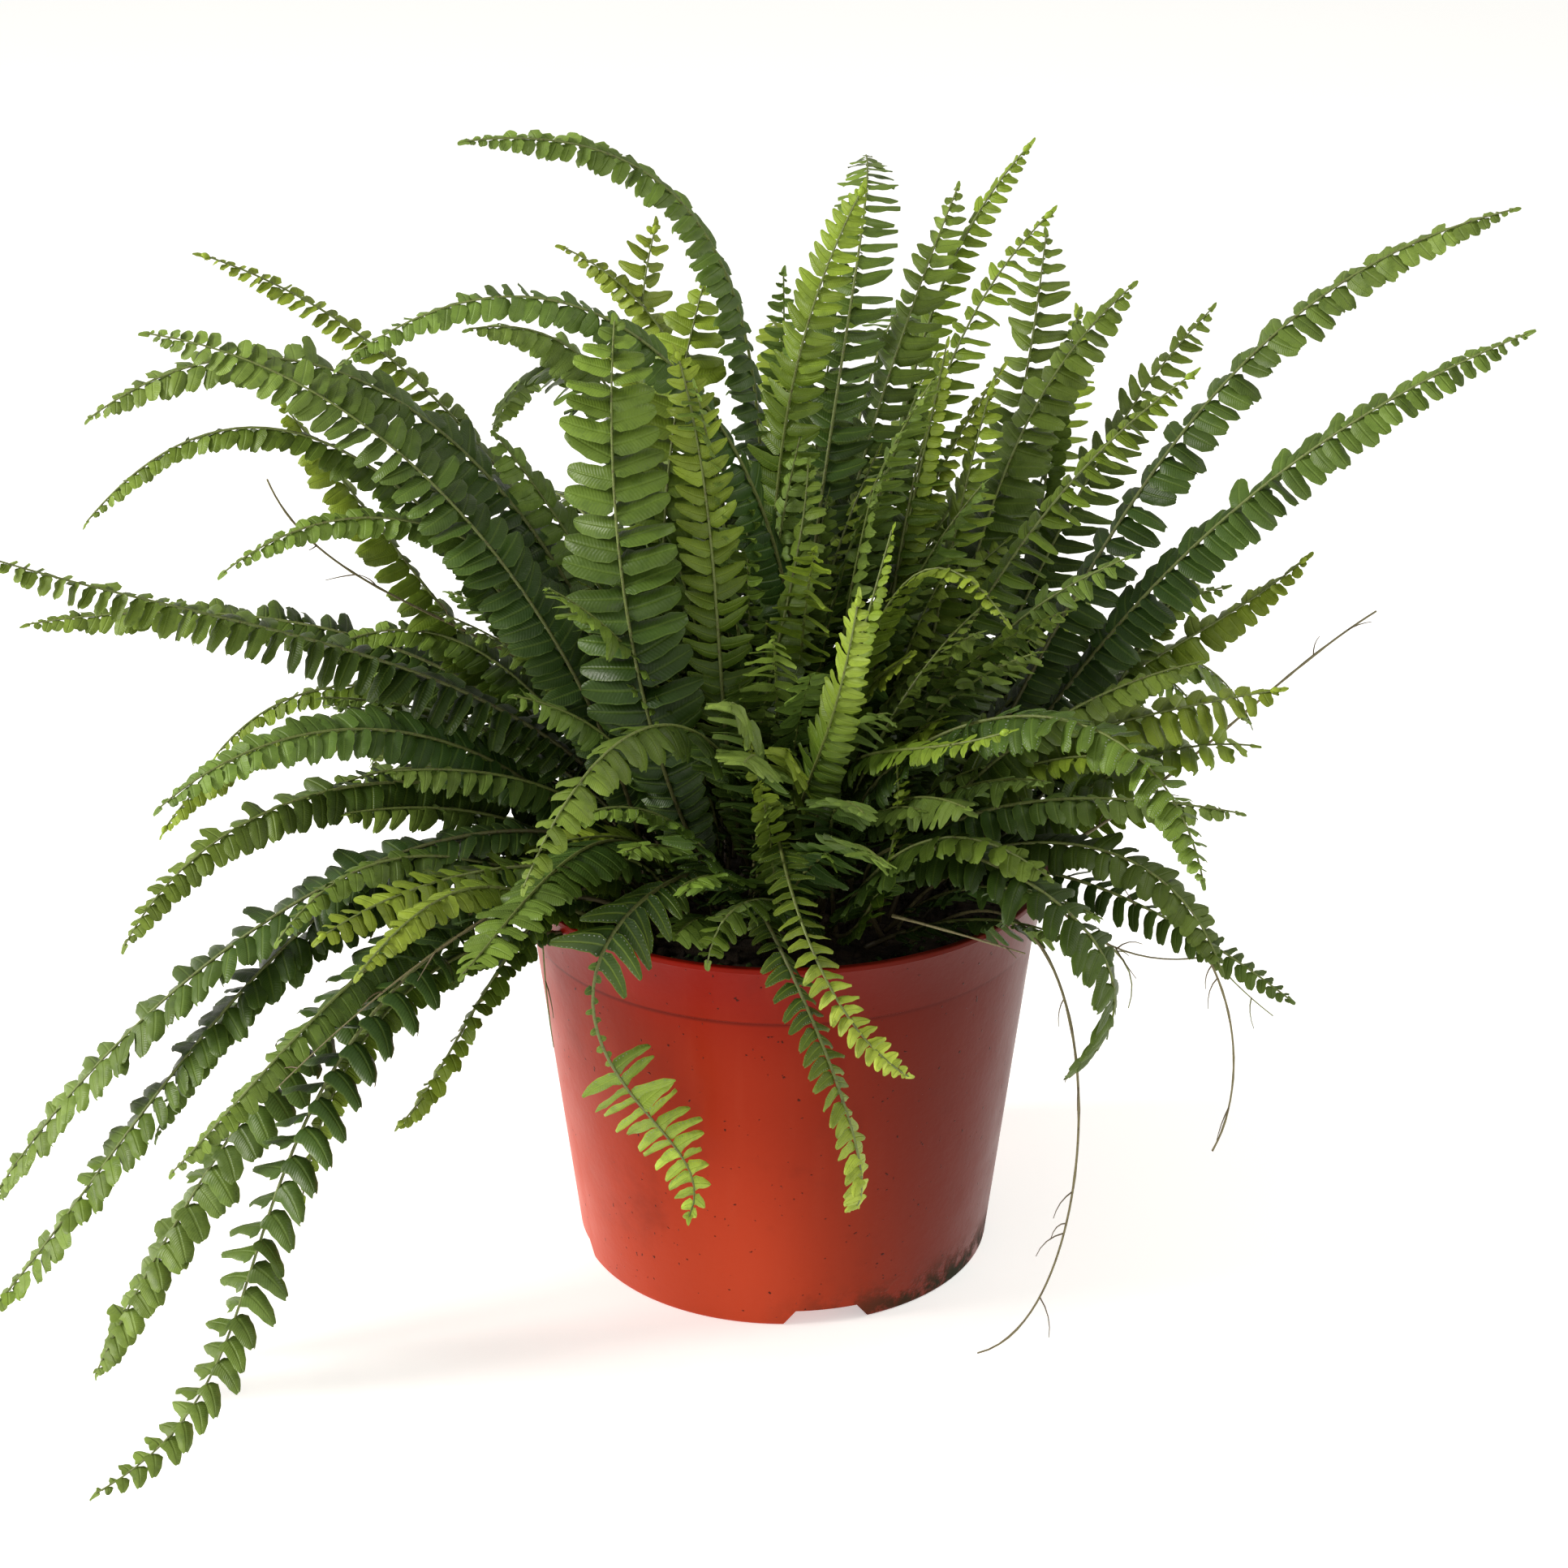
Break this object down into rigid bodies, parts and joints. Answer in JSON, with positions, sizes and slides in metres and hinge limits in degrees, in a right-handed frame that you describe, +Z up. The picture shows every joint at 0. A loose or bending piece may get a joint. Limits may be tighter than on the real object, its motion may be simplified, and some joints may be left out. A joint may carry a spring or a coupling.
{
  "type": "potted fern",
  "caption": "Boston fern with long arching fronds of small leaflets and a few wiry runners, in a round tapered red plastic nursery pot filled with peat.",
  "frame": {"origin": "on the floor, below the middle of the plant's outline seen from above; the pot's axis is 16 mm to the right of it and 27 mm in front of it", "axes": "+X to the plant's right as the picture shows it, +Y away from the camera, +Z up along the pot's axis"},
  "size_m": [0.5116, 0.425, 0.4073],
  "materials": {
    "pot": "gloss",
    "soil": "matte",
    "frond_dark": "satin",
    "frond_mature": "satin",
    "frond_young": "satin",
    "runner": "matte"
  },
  "bodies": {
    "root": {"pot": "pot", "soil": "soil", "frond_01": "frond_dark", "frond_02": "frond_mature", "frond_03": "frond_mature", "frond_04": "frond_mature", "frond_05": "frond_mature", "frond_06": "frond_young", "frond_07": "frond_mature", "frond_08": "frond_young", "frond_09": "frond_mature", "frond_10": "frond_dark", "frond_11": "frond_mature", "frond_12": "frond_young", "frond_13": "frond_young", "frond_14": "frond_young", "frond_15": "frond_mature", "frond_16": "frond_dark", "frond_17": "frond_young", "frond_18": "frond_mature", "frond_19": "frond_dark", "frond_20": "frond_dark", "frond_21": "frond_dark", "frond_22": "frond_dark", "frond_23": "frond_dark", "frond_24": "frond_mature", "frond_25": "frond_mature", "frond_26": "frond_mature", "frond_27": "frond_dark", "frond_28": "frond_mature", "frond_29": "frond_young", "frond_30": "frond_mature", "frond_31": "frond_mature", "frond_32": "frond_young", "frond_33": "frond_young", "frond_34": "frond_young", "frond_35": "frond_dark", "frond_36": "frond_mature", "frond_37": "frond_mature", "frond_38": "frond_young", "frond_39": "frond_young", "frond_40": "frond_mature", "frond_41": "frond_young", "frond_42": "frond_young", "frond_43": "frond_dark", "frond_44": "frond_dark", "frond_45": "frond_mature", "frond_46": "frond_young", "frond_47": "frond_young", "frond_48": "frond_young", "frond_49": "frond_mature", "frond_50": "frond_mature", "frond_51": "frond_mature", "frond_52": "frond_dark", "frond_53": "frond_dark", "frond_54": "frond_dark", "runner_1": "runner", "runner_2": "runner", "runner_3": "runner", "runner_4": "runner"}
  },
  "joints": []
}
